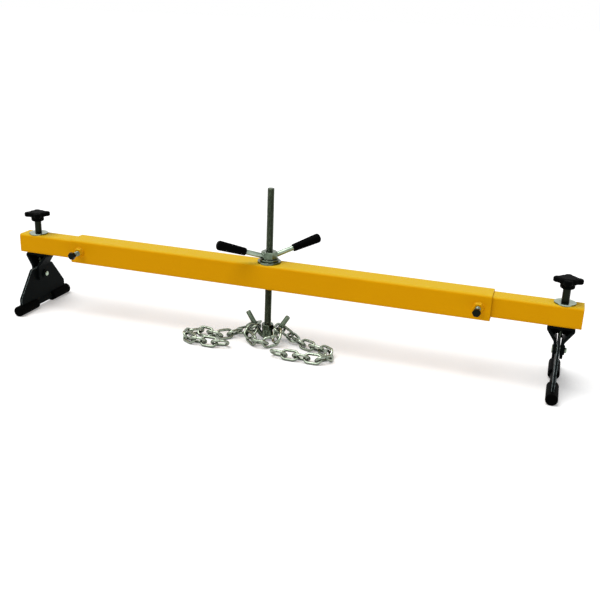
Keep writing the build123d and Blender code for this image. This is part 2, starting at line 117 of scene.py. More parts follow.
class Graph:
    """Adds nodes to one node tree and links them."""

    mix_share: int = 0
    mix_first: int = 6
    mix_second: int = 7
    mix_result: int = 2

    def __init__(self, tree: bpy.types.NodeTree) -> None:
        """Keeps the tree that the nodes go into."""
        self.tree = tree

    def feed(self, socket: Socket, value: Feed) -> None:
        """Links a socket into another one, or sets its constant.

        Args:
            socket: The input to feed.
            value: A socket, a number or a colour.
        """
        if isinstance(value, bpy.types.NodeSocket):
            self.tree.links.new(value, socket)
        elif isinstance(value, tuple) and socket.type == "RGBA":
            socket.default_value = (*value, 1.0)
        else:
            socket.default_value = value

    def node(self, kind: str, inputs: dict[str, Feed] | None = None, **settings: object) -> bpy.types.Node:
        """Adds a node.

        Args:
            kind: The node's type name.
            inputs: What its named inputs are fed with.
            settings: The node's own properties.

        Returns:
            The new node.
        """
        made = self.tree.nodes.new(kind)
        for key, value in settings.items():
            setattr(made, key, value)
        for key, value in (inputs or {}).items():
            self.feed(made.inputs[key], value)
        return made

    def group(self, tree: bpy.types.NodeTree, inputs: dict[str, Feed]) -> bpy.types.Node:
        """Places a node group and feeds its inputs.

        Args:
            tree: The group's own tree.
            inputs: What its named inputs are fed with.

        Returns:
            The group node.
        """
        return self.node("ShaderNodeGroup", inputs, node_tree=tree)

    def noise(self, kind: Noise, scale: Feed) -> Socket:
        """A noise pattern on the object's own coordinates.

        Args:
            kind: How the noise is built up.
            scale: How fine it is.

        Returns:
            The noise's socket.
        """
        inputs = {
            "Vector": self.node("ShaderNodeTexCoord").outputs["Object"],
            "Scale": scale,
            "Detail": kind.detail,
            "Roughness": kind.roughness,
            "Distortion": kind.distortion,
        }
        return self.node("ShaderNodeTexNoise", inputs).outputs["Fac"]

    def math(self, operation: str, first: Feed, second: Feed) -> Socket:
        """The result of a sum of two values.

        Args:
            operation: The sum's name.
            first: The first value.
            second: The second value.

        Returns:
            The result's socket.
        """
        made = self.node("ShaderNodeMath", operation=operation)
        self.feed(made.inputs[0], first)
        self.feed(made.inputs[1], second)
        return made.outputs[0]

    def span(self, value: Feed, source: Range, target: Range = WHOLE) -> Socket:
        """Maps one range of values to another, and holds it there.

        Args:
            value: The value to map.
            source: The range that it comes in.
            target: The range that it goes to.

        Returns:
            The mapped value's socket.
        """
        inputs = {
            "Value": value,
            "From Min": source[0],
            "From Max": source[1],
            "To Min": target[0],
            "To Max": target[1],
        }
        return self.node("ShaderNodeMapRange", inputs, clamp=True).outputs["Result"]

    def blend(self, share: Feed, first: Feed, second: Feed) -> Socket:
        """Mixes two colours.

        Args:
            share: How much of the second colour shows.
            first: The first colour.
            second: The second colour.

        Returns:
            The mixed colour's socket.
        """
        made = self.node("ShaderNodeMix", data_type="RGBA")
        self.feed(made.inputs[self.mix_share], share)
        self.feed(made.inputs[self.mix_first], first)
        self.feed(made.inputs[self.mix_second], second)
        return made.outputs[self.mix_result]

    def film(self, mask: Socket, strength: float, under: Feed, over: Feed) -> Socket:
        """Lays one colour over another by a mask.

        Args:
            mask: Where the upper colour lies.
            strength: How much of it shows there.
            under: The lower colour.
            over: The upper colour.

        Returns:
            The mixed colour's socket.
        """
        return self.blend(self.math("MULTIPLY", mask, strength), under, over)


def open_group(
    name: str, inputs: tuple[str, ...], outputs: dict[str, str]
) -> tuple[bpy.types.NodeTree, Graph, bpy.types.Node, bpy.types.Node]:
    """Starts a shader node group.

    Args:
        name: The group's name.
        inputs: The names of its number inputs, which each material feeds.
        outputs: Its outputs and their socket types.

    Returns:
        The tree, its graph, and its input and output nodes.
    """
    tree = bpy.data.node_groups.new(name, "ShaderNodeTree")
    for label in inputs:
        tree.interface.new_socket(label, in_out="INPUT", socket_type="NodeSocketFloat")
    for label, kind in outputs.items():
        tree.interface.new_socket(label, in_out="OUTPUT", socket_type=kind)
    graph = Graph(tree)
    return tree, graph, graph.node("NodeGroupInput"), graph.node("NodeGroupOutput")


class Effects:
    """The effects that the finishes share, each built once as a shader node group."""

    fine_noise: Noise = Noise(3.0, 0.55)
    coarse_noise: Noise = Noise(4.0, 0.6, 0.4)
    noise_middle: Range = (0.35, 0.65)
    edge_samples: int = 6
    edge_turn: Range = (0.995, 0.9)
    edge_noise: Noise = Noise(3.0)
    edge_noise_scale: float = 180.0
    edge_breaks: Range = (0.45, 0.62)
    facing_up: Range = (0.3, 0.95)
    patch_noise: Noise = Noise(5.0, 0.65)
    patch_middle: Range = (0.4, 0.7)
    patch_strength: Range = (0.8, 1.0)
    recess_samples: int = 8
    recess_openness: Range = (0.35, 0.95)

    def __init__(self) -> None:
        """Builds the groups."""
        self.grain = self._grain()
        self.edges = self._edges()
        self.top_light_and_dust = self._top_light_and_dust()
        self.recess_shade = self._recess_shade()

    def _grain(self) -> bpy.types.NodeTree:
        """Fine and coarse noise on the object's own coordinates, as a height, a speckle and a cloud."""
        tree, graph, given, out = open_group(
            "surface_grain",
            ("Grain Scale", "Cloud Scale"),
            {"Height": "NodeSocketFloat", "Speckle": "NodeSocketFloat", "Cloud": "NodeSocketFloat"},
        )
        fine = graph.noise(self.fine_noise, given.outputs["Grain Scale"])
        coarse = graph.noise(self.coarse_noise, given.outputs["Cloud Scale"])
        graph.feed(out.inputs["Height"], fine)
        graph.feed(out.inputs["Speckle"], graph.span(fine, self.noise_middle))
        graph.feed(out.inputs["Cloud"], graph.span(coarse, self.noise_middle))
        return tree

    def _edges(self) -> bpy.types.NodeTree:
        """Where the surface turns sharply, as a broken mask, and the surface's direction with rounded edges.

        The cosine between the true direction and the rounded one is lowest on a sharp edge. The mask lays on
        both wear and painted edge highlights.
        """
        tree, graph, given, out = open_group(
            "worn_and_highlit_edges", ("Width", "Cover"), {"Mask": "NodeSocketFloat", "Normal": "NodeSocketVector"}
        )
        rounded = graph.node("ShaderNodeBevel", {"Radius": given.outputs["Width"]}, samples=self.edge_samples)
        surface = graph.node("ShaderNodeNewGeometry")
        agree = graph.node("ShaderNodeVectorMath", operation="DOT_PRODUCT")
        graph.feed(agree.inputs[0], rounded.outputs["Normal"])
        graph.feed(agree.inputs[1], surface.outputs["Normal"])
        sharp = graph.span(agree.outputs["Value"], self.edge_turn)
        noise = graph.noise(self.edge_noise, self.edge_noise_scale)
        broken = graph.span(graph.math("ADD", noise, given.outputs["Cover"]), self.edge_breaks)
        graph.feed(out.inputs["Mask"], graph.math("MULTIPLY", sharp, broken))
        graph.feed(out.inputs["Normal"], rounded.outputs["Normal"])
        return tree

    def _top_light_and_dust(self) -> bpy.types.NodeTree:
        """A patchy film on what faces up: painted light from above where it is pale and strong, as on the
        beam, and thin dust where it is faint.
        """
        tree, graph, given, out = open_group("painted_top_light_and_dust", ("Patch Scale",), {"Mask": "NodeSocketFloat"})
        surface = graph.node("ShaderNodeNewGeometry")
        parts = graph.node("ShaderNodeSeparateXYZ", {"Vector": surface.outputs["Normal"]})
        facing = graph.span(parts.outputs["Z"], self.facing_up)
        noise = graph.noise(self.patch_noise, given.outputs["Patch Scale"])
        patch = graph.span(noise, self.patch_middle, self.patch_strength)
        graph.feed(out.inputs["Mask"], graph.math("MULTIPLY", facing, patch))
        return tree

    def _recess_shade(self) -> bpy.types.NodeTree:
        """Painted shade where other surfaces lie close by, as a mask that is strongest in the tightest
        places.
        """
        tree, graph, given, out = open_group("painted_recess_shade", ("Reach",), {"Mask": "NodeSocketFloat"})
        near = graph.node(
            "ShaderNodeAmbientOcclusion", {"Distance": given.outputs["Reach"]}, samples=self.recess_samples
        )
        graph.feed(out.inputs["Mask"], graph.span(near.outputs["AO"], self.recess_openness, WHOLE[::-1]))
        return tree


@dataclass(frozen=True)
class Finish:
    """One finish of a slot: the nodes that alone take it, its colours, and how shine, grain, edge wear with
    painted edge highlights, painted top light with dust, and painted recess shade show.
    """

    slot: Slot
    colour: Colour
    cloud: Colour
    wear_and_highlight_colour: Colour
    # The dark colour that the tone attribute leads to: painted shade in thread roots and weld valleys,
    # painted dark reflection on sleeves and bolt heads, and the chain links' welds and dullness.
    toned: Colour
    metallic: float
    shine: Range
    grain_scale: float
    cloud_scale: float
    bump: float
    wear_and_highlight: float
    wear_and_highlight_width: float
    top_light_and_dust: float
    nodes: tuple[str, ...] = ()
    wear_and_highlight_cover: float = 0.0
    top_light_and_dust_colour: Colour = (0.42, 0.40, 0.36)
    top_light_and_dust_fineness: float = 2.0
    # Painted shade in recesses: how strong it is, how far it reaches, and its dark colour.
    recess_shade: float = 0.0
    recess_shade_reach: float = 0.0
    recess_shade_colour: Colour = (0.03, 0.034, 0.02)
    specular: float = 0.5

    def material(self, effects: Effects) -> bpy.types.Material:
        """Builds the finish as a node material.

        Args:
            effects: The shared node groups.

        Returns:
            The material.
        """
        made = bpy.data.materials.new("_".join([self.slot.value, *self.nodes[:1], "finish"]))
        made.use_nodes = True
        made.node_tree.nodes.clear()
        graph = Graph(made.node_tree)
        grain = graph.group(effects.grain, {"Grain Scale": self.grain_scale, "Cloud Scale": self.cloud_scale})
        edges = graph.group(effects.edges, {"Width": self.wear_and_highlight_width, "Cover": self.wear_and_highlight_cover})
        top_light_and_dust = graph.group(effects.top_light_and_dust, {"Patch Scale": self.top_light_and_dust_fineness * self.cloud_scale})
        tone = graph.node("ShaderNodeAttribute", attribute_name=TONE).outputs["Fac"]
        colour = graph.blend(grain.outputs["Cloud"], self.colour, self.cloud)
        # Lays the edge colour on sharp edges: wear, and painted highlights where edges catch the light.
        colour = graph.film(edges.outputs["Mask"], self.wear_and_highlight, colour, self.wear_and_highlight_colour)
        # Darkens by the tone attribute: painted shade, painted dark reflection, and the chain's welds and
        # dullness.
        colour = graph.blend(tone, colour, self.toned)
        # Pales what faces up: painted top light on the beam, thin dust on the rest.
        colour = graph.film(top_light_and_dust.outputs["Mask"], self.top_light_and_dust, colour, self.top_light_and_dust_colour)
        # Darkens where other surfaces lie close by: painted shade in recesses.
        if self.recess_shade:
            recess_shade = graph.group(effects.recess_shade, {"Reach": self.recess_shade_reach})
            colour = graph.film(recess_shade.outputs["Mask"], self.recess_shade, colour, self.recess_shade_colour)
        bump = graph.node(
            "ShaderNodeBump",
            {"Height": grain.outputs["Height"], "Distance": self.bump, "Normal": edges.outputs["Normal"]},
        )
        shader = graph.node(
            "ShaderNodeBsdfPrincipled",
            {
                "Base Color": colour,
                "Metallic": self.metallic,
                "Roughness": graph.span(grain.outputs["Speckle"], WHOLE, self.shine),
                "Specular IOR Level": self.specular,
                "Normal": bump.outputs["Normal"],
            },
        )
        out = graph.node("ShaderNodeOutputMaterial")
        graph.feed(out.inputs["Surface"], shader.outputs["BSDF"])
        return made


BEAM_PAINT = Finish(
    Slot.YELLOW,
    colour=(0.748, 0.345, 0.0),
    cloud=(0.725, 0.325, 0.0),
    # Paler edges: wear, and a painted highlight along the rounded edges.
    wear_and_highlight_colour=(0.80, 0.46, 0.02),
    toned=(0.62, 0.26, 0.0),
    metallic=0.0,
    shine=(0.42, 0.55),
    grain_scale=420.0,
    cloud_scale=7.0,
    bump=0.00006,
    wear_and_highlight=0.35,
    wear_and_highlight_width=0.0008,
    # A pale yellow on the upward faces: painted light from above.
    top_light_and_dust=0.5,
    top_light_and_dust_colour=(0.61, 0.56, 0.045),
    specular=0.03,
)
BRACKET_PAINT = Finish(
    Slot.BLACK,
    colour=(0.0032, 0.0046, 0.0046),
    cloud=(0.0042, 0.006, 0.006),
    # Greyer edges: painted highlights on the black paint's edges.
    wear_and_highlight_colour=(0.03, 0.037, 0.037),
    toned=(0.004, 0.005, 0.005),
    metallic=0.0,
    shine=(0.40, 0.55),
    grain_scale=650.0,
    cloud_scale=18.0,
    bump=0.00008,
    wear_and_highlight=0.6,
    wear_and_highlight_width=0.0006,
    top_light_and_dust=0.002,
    specular=0.018,
)
# The foot's plate and bar with broad pale grey edges: painted highlights along the edges that face the light.
HIGHLIT_FOOT_PAINT = replace(
    BRACKET_PAINT,
    nodes=("left_foot_plate", "right_foot_plate", "left_foot_bar", "right_foot_bar"),
    wear_and_highlight_colour=(0.34, 0.41, 0.41),
    wear_and_highlight=0.8,
    wear_and_highlight_width=0.0018,
    wear_and_highlight_cover=0.12,
)
BRIGHT_ZINC = Finish(
    Slot.ZINC,
    colour=(0.34, 0.42, 0.33),
    cloud=(0.25, 0.31, 0.24),
    wear_and_highlight_colour=(0.55, 0.62, 0.53),
    toned=(0.06, 0.075, 0.055),
    metallic=1.0,
    shine=(0.16, 0.30),
    grain_scale=900.0,
    cloud_scale=60.0,
    bump=0.00003,
    wear_and_highlight=0.5,
    wear_and_highlight_width=0.0005,
    top_light_and_dust=0.01,
    # Painted shade in the recesses round nuts, rods and welds.
    recess_shade=0.9,
    recess_shade_reach=0.012,
)
# A darker copy of the zinc for the nut, thrust washer, hook and jam nut: painted shade and painted dark
# reflection on the faces, brighter painted highlights on the edges.
SHADED_ZINC = replace(
    BRIGHT_ZINC,
    nodes=("lift_nut", "thrust_washer", "double_hook", "jam_nut"),
    colour=(0.175, 0.225, 0.16),
    cloud=(0.09, 0.118, 0.082),
    wear_and_highlight_colour=(0.60, 0.66, 0.57),
    shine=(0.14, 0.28),
    cloud_scale=90.0,
    wear_and_highlight=0.8,
    wear_and_highlight_width=0.0007,
    recess_shade=0.95,
    recess_shade_reach=0.014,
)
SCREW_STEEL = Finish(
    Slot.SCREW,
    colour=(0.135, 0.17, 0.112),
    cloud=(0.095, 0.12, 0.078),
    wear_and_highlight_colour=(0.30, 0.32, 0.26),
    toned=(0.008, 0.010, 0.007),
    metallic=1.0,
    shine=(0.24, 0.40),
    grain_scale=1200.0,
    cloud_scale=40.0,
    bump=0.00002,
    wear_and_highlight=0.2,
    wear_and_highlight_width=0.0002,
    top_light_and_dust=0.0,
)
CHAIN_ZINC = Finish(
    Slot.CHAIN,
    colour=(0.38, 0.44, 0.36),
    cloud=(0.27, 0.32, 0.25),
    wear_and_highlight_colour=(0.60, 0.66, 0.57),
    toned=(0.05, 0.06, 0.035),
    metallic=1.0,
    shine=(0.12, 0.25),
    grain_scale=800.0,
    cloud_scale=90.0,
    bump=0.00003,
    wear_and_highlight=0.3,
    wear_and_highlight_width=0.0004,
    top_light_and_dust=0.01,
    # Painted shade in the recesses between links and round the hook.
    recess_shade=0.95,
    recess_shade_reach=0.008,
)
KNOB_PLASTIC = Finish(
    Slot.PLASTIC,
    colour=(0.0015, 0.0016, 0.0016),
    cloud=(0.0022, 0.0023, 0.0023),
    # Greyer edges: painted highlights on the knob's edges.
    wear_and_highlight_colour=(0.012, 0.012, 0.012),
    toned=(0.004, 0.004, 0.004),
    metallic=0.0,
    shine=(0.42, 0.58),
    grain_scale=1400.0,
    cloud_scale=40.0,
    bump=0.00005,
    wear_and_highlight=0.25,
    wear_and_highlight_width=0.0005,
    top_light_and_dust=0.001,
    specular=0.009,
)
PAD_RUBBER = Finish(
    Slot.RUBBER,
    colour=(0.001, 0.0011, 0.001),
    cloud=(0.0016, 0.0017, 0.0016),
    # Greyer edges: painted highlights on the pads' edges.
    wear_and_highlight_colour=(0.008, 0.008, 0.008),
    toned=(0.003, 0.003, 0.003),
    metallic=0.0,
    shine=(0.50, 0.66),
    grain_scale=1100.0,
    cloud_scale=30.0,
    bump=0.00008,
    wear_and_highlight=0.2,
    wear_and_highlight_width=0.0006,
    top_light_and_dust=0.001,
    specular=0.009,
)
FINISHES = (
    BEAM_PAINT,
    BRACKET_PAINT,
    HIGHLIT_FOOT_PAINT,
    BRIGHT_ZINC,
    SHADED_ZINC,
    SCREW_STEEL,
    CHAIN_ZINC,
    KNOB_PLASTIC,
    PAD_RUBBER,
)


@dataclass
class Surface:
    """A grid of points on a surface, with a tone from 0 to 1 at each, closed round one or both ways."""

    points: np.ndarray
    tone: np.ndarray
    ring: bool = False

    def quads(self, first: int) -> np.ndarray:
        """Four corners for each cell. Columns always close round, and rows do where the surface is a ring.

        Args:
            first: The number of the grid's first point.

        Returns:
            An array of corner numbers, one row for each cell.
        """
        rows, columns = self.points.shape[:2]
        row = np.arange(rows if self.ring else rows - 1)[:, None]
        column = np.arange(columns)[None, :]
        here = row * columns
        above = (row + 1) % rows * columns
        beside = (column + 1) % columns
        cells = np.stack([here + column, here + beside, above + beside, above + column], axis=-1)
        return cells.reshape(-1, 4) + first


class Workshop:
    """Makes pieces from surfaces, and gives pieces and solids their finishes."""

    weld_distance: float = 1e-7
    sharp_angle: float = 40.0

    def __init__(self) -> None:
        """Builds the materials and reads each solid's slot from the record."""
        effects = Effects()
        self.materials: dict[Slot, bpy.types.Material] = {}
        self.own_materials: dict[str, bpy.types.Material] = {}
        for finish in FINISHES:
            made = finish.material(effects)
            if finish.nodes:
                self.own_materials |= dict.fromkeys(finish.nodes, made)
            else:
                self.materials[finish.slot] = made
        self.slots = {row["node"]: Slot(row["material_slot"]) for row in frame["record"]["subparts"]}

    def dress(self, node: str) -> None:
        """Puts a solid's finish on its object."""
        target = frame["nodes"][node]
        target.data.materials.clear()
        target.data.materials.append(self.own_materials.get(node, self.materials[self.slots[node]]))
        LOG.info("dressed %s in %s", node, self.slots[node].value)

    def piece(
        self, name: str, surfaces: list[Surface], slot: Slot, body: str, replaced: tuple[str, ...] = ()
    ) -> None:
        """Makes one piece from its surfaces, and puts it on its body.

        Args:
            name: The piece's name.
            surfaces: Its surfaces.
            slot: The slot that it takes its finish from.
            body: The body that it rides on.
            replaced: The solids that it stands for.
        """
        counts = np.cumsum([0] + [surface.tone.size for surface in surfaces])
        points = np.concatenate([surface.points.reshape(-1, 3) for surface in surfaces])
        tone = np.concatenate([surface.tone.ravel() for surface in surfaces])
        quads = np.concatenate([surface.quads(int(first)) for surface, first in zip(surfaces, counts)])
        mesh = bpy.data.meshes.new(name)
        mesh.from_pydata(points.tolist(), [], quads.tolist())
        mesh.attributes.new(TONE, "FLOAT", "POINT").data.foreach_set("value", tone.astype(np.float32))
        shell = bmesh.new()
        shell.from_mesh(mesh)
        bmesh.ops.remove_doubles(shell, verts=shell.verts, dist=self.weld_distance)
        bmesh.ops.recalc_face_normals(shell, faces=shell.faces)
        shell.to_mesh(mesh)
        shell.free()
        mesh.shade_smooth()
        mesh.set_sharp_from_angle(angle=math.radians(self.sharp_angle))
        mesh.materials.append(self.materials[slot])
        made = bpy.data.objects.new(name, mesh)
        bpy.context.scene.collection.objects.link(made)
        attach(made, body)
        if replaced:
            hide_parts(*replaced)
        LOG.info("made %s with %d faces on %s", name, len(mesh.polygons), body)


def ring_of_angles(count: int) -> np.ndarray:
    """Equal angles once round, without the last one that meets the first."""
    return np.arange(count) * (FULL_TURN / count)


def across(axis: np.ndarray, nearly_along: float = 0.9) -> tuple[np.ndarray, np.ndarray]:
    """Two unit directions square to an axis and to each other, right-handed with it.

    Args:
        axis: The unit axis.
        nearly_along: The share of X from which an axis counts as lying along X.

    Returns:
        The two directions.
    """
    aside = ALONG if abs(axis[0]) < nearly_along else REARWARD
    first = np.cross(np.cross(axis, aside), axis)
    first /= np.linalg.norm(first)
    return first, np.cross(axis, first)


def turned(
    foot: np.ndarray, axis: np.ndarray, radius: np.ndarray, angle: np.ndarray, height: np.ndarray
) -> np.ndarray:
    """Points at a radius, angle and height about an axis.

    Args:
        foot: The axis' foot.
        axis: The unit axis.
        radius: The radii, one for each row and column.
        angle: The angles, one for each column.
        height: The heights, one for each row.

    Returns:
        The points, row by row.
    """
    first, second = across(axis)
    out = np.cos(angle)[..., None] * first + np.sin(angle)[..., None] * second
    return foot + radius[..., None] * out + height[..., None] * axis


def capped(radius: np.ndarray, height: np.ndarray) -> tuple[np.ndarray, np.ndarray]:
    """Closes a turned skin with a row of points on the axis at each end.

    Args:
        radius: The radii, one for each row and column.
        height: The heights, one for each row.

    Returns:
        The radii and heights with the two rows added.
    """
    closed = np.pad(radius, ((1, 1), (0, 0)))
    return closed, np.concatenate([height[:1], height, height[-1:]])


@dataclass(frozen=True)
class Thread:
    """A right-hand screw thread on a rod with bevelled ends."""

    foot: np.ndarray
    axis: np.ndarray
    diameter: float
    pitch: float
    length: float
    depth_share: float = 0.6134
    crest_share: float = 0.14
    root_share: float = 0.22
    bevel: float = 0.0012
    steps: int = 12
    columns: int = 30

    def surface(self) -> Surface:
        """The rod's skin.

        At height z and angle a, the phase is z / pitch - a / turn. The distance of the phase from a crest,
        from 0 at the crest to 1 at the root, gives the depth as a sloped flank between two flats. The ends
        narrow at 45 degrees and close at a point on the axis.

        Returns:
            The surface, with its roots toned dark as painted shade.
        """
        rows = int(round(self.length / self.pitch * self.steps)) + 1
        height = np.linspace(0.0, self.length, rows)[:, None]
        angle = ring_of_angles(self.columns)[None, :]
        phase = (height / self.pitch - angle / FULL_TURN) % 1.0
        away = np.abs(2 * phase - 1)
        depth = np.clip((away - self.crest_share) / (1 - self.crest_share - self.root_share), 0.0, 1.0)
        crest = self.diameter / 2
        reach = self.depth_share * self.pitch
        edge = crest - self.bevel + np.minimum(height, self.length - height)
        radius = np.minimum(crest - reach * depth, edge)
        # Darker the deeper the groove: painted shade in the thread's roots.
        tone = np.where(radius < edge, depth, 0.0)
        radius, height = capped(radius, height)
        return Surface(turned(self.foot, self.axis, radius, angle, height), np.pad(tone, ((1, 1), (0, 0))))


@dataclass(frozen=True)
class HexHead:
    """A bolt head: a hexagon whose outer corners are turned off by a cone."""

    foot: np.ndarray
    axis: np.ndarray
    flats: float
    height: float
    cone_slope: float = 0.577
    washer_face: float = 0.95
    # Dark tone over the whole head: painted dark reflection.
    tone: float = 1.0
    columns: int = 72
    rows: int = 10

    def surface(self) -> Surface:
        """The head's skin.

        The hexagon's radius at an angle is half its flats over the cosine of the angle from the nearest flat.
        The cone's radius grows from the face's circle as the depth below the face over the slope. The smaller
        one holds. The rows lie closest together near the face.

        Returns:
            The surface, toned dark all over as a painted dark reflection.
        """
        angle = ring_of_angles(self.columns)[None, :]
        sixth = FULL_TURN / 6
        hexagon = self.flats / 2 / np.cos(angle % sixth - sixth / 2)
        rise = np.sqrt(np.linspace(0.0, 1.0, self.rows)[:, None]) * self.height
        cone = self.flats / 2 * self.washer_face + (self.height - rise) / self.cone_slope
        radius, rise = capped(np.minimum(hexagon, cone), rise)
        return Surface(turned(self.foot, self.axis, radius, angle, rise), np.full_like(radius, self.tone))


@dataclass(frozen=True)
class Sleeve:
    """A plain round sleeve with bevelled rims, toned dark on its outside as a painted dark reflection."""

    foot: np.ndarray
    axis: np.ndarray
    outer: float
    bore: float
    length: float
    bevel: float = 0.0006
    # The outside's dark tone: painted dark reflection.
    tone: float = 0.97
    columns: int = 96

    def surface(self) -> Surface:
        """The sleeve's skin: a closed outline of radius and height, turned about the axis.

        Returns:
            The surface, toned on its outside.
        """
        outside = self.outer / 2
        inside = self.bore / 2
        radius = np.array([inside, outside - self.bevel, outside, outside, outside - self.bevel, inside])
        height = np.array([0.0, 0.0, self.bevel, self.length - self.bevel, self.length, self.length])
        tone = np.where(radius > inside, self.tone, 0.0)
        angle = ring_of_angles(self.columns)[None, :]
        spread = np.ones_like(angle)
        points = turned(self.foot, self.axis, radius[:, None] * spread, angle, height[:, None])
        return Surface(points, tone[:, None] * spread, True)


@dataclass(frozen=True)
class WeldBead:
    """A rippled bead of weld metal along a path."""

    width: float
    ripple: float = 0.0022
    ripple_height: float = 0.14
    valley_shade_tone: float = 0.6
    columns: int = 12
    step: float = 0.0004
    upright_limit: float = 1e-6

    def surface(self, path: np.ndarray, ring: bool) -> Surface:
        """The bead's skin: a round section carried along the path.

        The section's radius swells and shrinks in scallops, as the arc length over the ripple's length, and
        rounds off to nothing at both ends of an open path.

        Args:
            path: The path's points.
            ring: Whether the last point joins the first.

        Returns:
            The surface, with the valleys between its scallops toned dark as painted shade.
        """
        ahead = np.roll(path, -1, axis=0) - np.roll(path, 1, axis=0)
        if not ring:
            ahead[0] = path[1] - path[0]
            ahead[-1] = path[-1] - path[-2]
        ahead /= np.linalg.norm(ahead, axis=1)[:, None]
        steps = np.linalg.norm(np.diff(path, axis=0), axis=1)
        travel = np.concatenate([[0.0], np.cumsum(steps)])
        turns = travel / self.ripple
        if ring:
            around = travel[-1] + np.linalg.norm(path[0] - path[-1])
            turns = travel / around * round(around / self.ripple)
        scallop = np.abs(np.sin(math.pi * turns)) * self.ripple_height
        radius = self.width / 2 * (1 - self.ripple_height + scallop)
        if not ring:
            taper = np.minimum(travel, travel[-1] - travel) / (self.width / 2)
            radius *= np.sqrt(np.clip(taper * (2 - np.minimum(taper, 1.0)), 0.0, 1.0))
        first = np.cross(ahead, UP)
        upright = np.linalg.norm(first, axis=1)[:, None] < self.upright_limit
        first = np.where(upright, ALONG, first)
        first /= np.linalg.norm(first, axis=1)[:, None]
        second = np.cross(ahead, first)
        angle = ring_of_angles(self.columns)
        out = np.cos(angle)[None, :, None] * first[:, None] + np.sin(angle)[None, :, None] * second[:, None]
        points = path[:, None] + radius[:, None, None] * out
        # Darker in the dips between scallops: painted shade.
        tone = np.repeat((1 - scallop / self.ripple_height)[:, None], self.columns, axis=1)
        return Surface(points, tone * self.valley_shade_tone, ring)


@dataclass(frozen=True)
class ChainLink:
    """A link of round wire with its weld on one long side."""

    wire: float = 0.0055
    inner_length: float = 0.027
    inner_width: float = 0.013
    weld_swell: float = 0.00022
    weld_reach: float = 0.0013
    weld_tone: float = 0.8
    rows: int = 84
    columns: int = 18

    def surface(self, middle: np.ndarray, along: np.ndarray, wide: np.ndarray, dull: float) -> Surface:
        """The link's skin: a round section carried round a stadium.

        The arc length goes down one straight side, round a half turn, back up the other side and round again.
        The section swells as a bell curve of the distance from the weld, half way along the first side.

        Args:
            middle: The link's middle.
            along: The unit direction of its length.
            wide: The unit direction of its width.
            dull: How dull the whole link is, from 0 to 1.

        Returns:
            The surface, with the weld toned most.
        """
        turn = (self.inner_width + self.wire) / 2
        side = self.inner_length + self.wire - 2 * turn
        half_lap = side + math.pi * turn
        travel = np.arange(self.rows) / self.rows * 2 * half_lap
        lap = travel % half_lap
        sign = np.where(travel < half_lap, 1.0, -1.0)
        swing = np.clip((lap - side) / turn, 0.0, math.pi)
        straight = np.minimum(lap, side) - side / 2
        out_x = sign * np.sin(swing)
        out_y = sign * np.cos(swing)
        x = sign * straight + turn * out_x
        y = turn * out_y
        normal = np.cross(along, wide)
        spine = middle + x[:, None] * along + y[:, None] * wide
        outward = out_x[:, None] * along + out_y[:, None] * wide
        off = np.minimum(np.abs(travel - side / 2), np.abs(travel - side / 2 - 2 * half_lap))
        bell = np.exp(-((off / self.weld_reach) ** 2))
        radius = self.wire / 2 + self.weld_swell * bell
        angle = ring_of_angles(self.columns)
        section = np.cos(angle)[None, :, None] * outward[:, None] + np.sin(angle)[None, :, None] * normal
        points = spine[:, None] + radius[:, None, None] * section
        tone = np.maximum(self.weld_tone * bell, dull)
        return Surface(points, np.repeat(tone[:, None], self.columns, axis=1), True)


def solids_of(node: str, digits: int = 6) -> list[np.ndarray]:
    """The points of each separate solid in a node.

    Every corner starts with its own number. Each triangle gives its corners the lowest number among them,
    until nothing changes, so that the corners of one solid end with one number.

    Args:
        node: The node's name.
        digits: The decimals to which corners that count as one agree.

    Returns:
        One array of points for each solid.
    """
    mesh = frame["nodes"][node].data
    mesh.calc_loop_triangles()
    points = np.empty(3 * len(mesh.vertices))
    mesh.vertices.foreach_get("co", points)
    corners = np.empty(3 * len(mesh.loop_triangles), dtype=np.int32)
    mesh.loop_triangles.foreach_get("vertices", corners)
    places, number = np.unique(np.round(points.reshape(-1, 3), digits), axis=0, return_inverse=True)
    triangles = number.ravel()[corners].reshape(-1, 3)
    label = np.arange(len(places))
    settled = False
    while not settled:
        lower = label.copy()
        np.minimum.at(lower, triangles.ravel(), np.repeat(label[triangles].min(axis=1), 3))
        settled = bool((lower == label).all())
        label = lower
    return [places[label == name] for name in np.unique(label)]


def corners_of(node: str) -> tuple[np.ndarray, np.ndarray]:
    """A node's lowest and highest corners as arrays."""
    low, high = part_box(node)
    return np.array(low), np.array(high)


def upright_of(node: str) -> tuple[np.ndarray, float, float]:
    """The foot of an upright round node on its axis, its diameter and its height."""
    low, high = corners_of(node)
    foot = np.array([*((low + high) / 2)[:2], low[2]])
    return foot, high[0] - low[0], high[2] - low[2]


def body_of(node: str) -> str:
    """The body that a node rides on."""
    return frame["nodes"][node]["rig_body"]


@dataclass
class SubAssembly:
    """Pieces that are built together, beside solids that keep their shapes."""

    shop: Workshop
    solids: ClassVar[tuple[str, ...]] = ()

    def node(self, name: str) -> str:
        """The full name of a node of this sub-assembly."""
        return name

    def build(self) -> None:
        """Makes the pieces."""
        raise NotImplementedError

    def dress(self) -> None:
        """Finishes the solids."""
        for name in self.solids:
            self.shop.dress(self.node(name))


